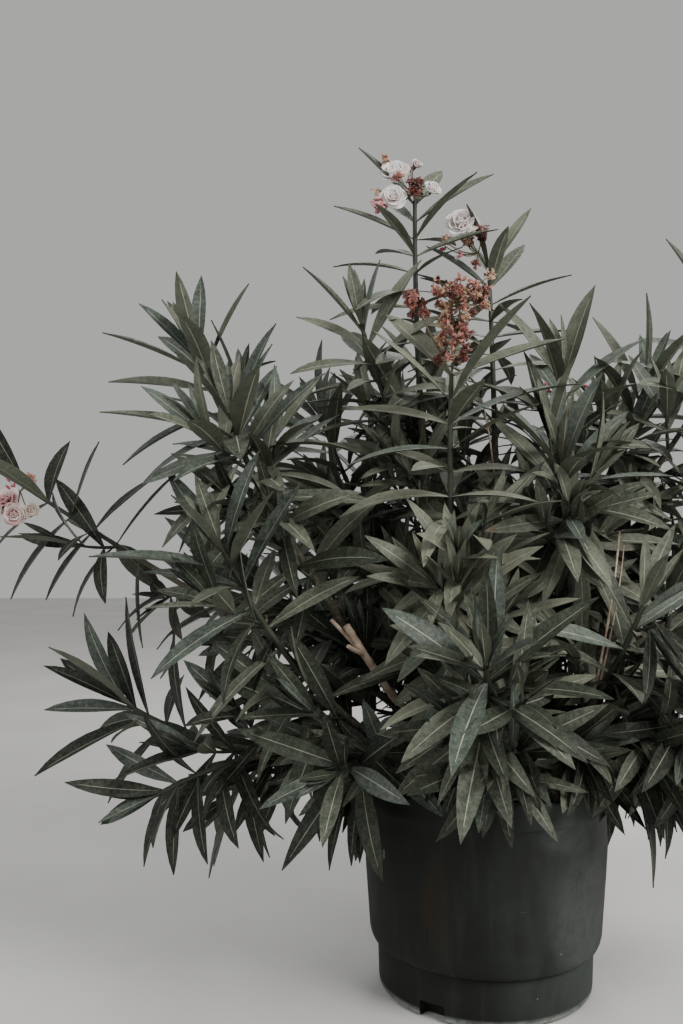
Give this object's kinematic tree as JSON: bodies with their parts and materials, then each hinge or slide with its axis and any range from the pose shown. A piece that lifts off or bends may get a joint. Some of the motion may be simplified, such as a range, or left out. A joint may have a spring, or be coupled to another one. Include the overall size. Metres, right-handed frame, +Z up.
{
  "type": "potted oleander",
  "caption": "Tall many-stemmed oleander shrub with narrow grey-green leaves in whorls and a few pink and white blooms, in a round weathered grey pot.",
  "frame": {"origin": "middle of the pot's flat underside, where it stands", "axes": "+Z up; the pictured side faces -Y; +X to the right as seen from there"},
  "size_m": [1.3547, 0.9175, 1.295],
  "materials": {
    "pot": "weathered, dusty, matte",
    "soil": "crumbly, with dry litter",
    "bark": "smooth young bark, green to grey-brown",
    "cut_wood": "dry, pale, pruned",
    "foliage": "leathery grey-green leaves with pale midribs, dusty",
    "blossom": "soft double petals",
    "dried_blossom": "faded, papery"
  },
  "bodies": {
    "root": {"foliage_back": "foliage", "foliage_back_left_low": "foliage", "foliage_back_low": "foliage", "foliage_back_right": "foliage", "foliage_back_right_low": "foliage", "foliage_centre": "foliage", "foliage_centre_low": "foliage", "foliage_far_left": "foliage", "foliage_far_right": "foliage", "foliage_front": "foliage", "foliage_front_low_left": "foliage", "foliage_left_back": "foliage", "foliage_left_front": "foliage", "foliage_left_top": "foliage", "foliage_left_upper": "foliage", "foliage_low_hanging": "foliage", "foliage_low_left": "foliage", "foliage_low_left_far": "foliage", "foliage_low_right": "foliage", "foliage_low_right_side": "foliage", "foliage_right": "foliage", "foliage_right_edge": "foliage", "foliage_right_front": "foliage", "foliage_right_inner": "foliage", "foliage_right_side": "foliage", "foliage_tall": "foliage", "foliage_upper_left": "foliage", "foliage_upper_right": "foliage", "pot": "pot", "soil": "soil", "stem_back": "bark", "stem_back_left_low": "bark", "stem_back_low": "bark", "stem_back_right": "bark", "stem_back_right_low": "bark", "stem_base": "bark", "stem_centre": "bark", "stem_cut": "cut_wood", "stem_far_left": "bark", "stem_far_right": "bark", "stem_front": "bark", "stem_front_low_left": "bark", "stem_left_back": "bark", "stem_left_front": "bark", "stem_left_top": "bark", "stem_left_upper": "bark", "stem_low_hanging": "bark", "stem_low_left": "bark", "stem_low_left_far": "bark", "stem_low_right": "bark", "stem_low_right_side": "bark", "stem_right": "bark", "stem_right_edge": "bark", "stem_right_front": "bark", "stem_right_inner": "bark", "stem_right_side": "bark", "stem_tall": "bark", "stem_upper_left": "bark", "stem_upper_right": "bark"}
  },
  "joints": []
}
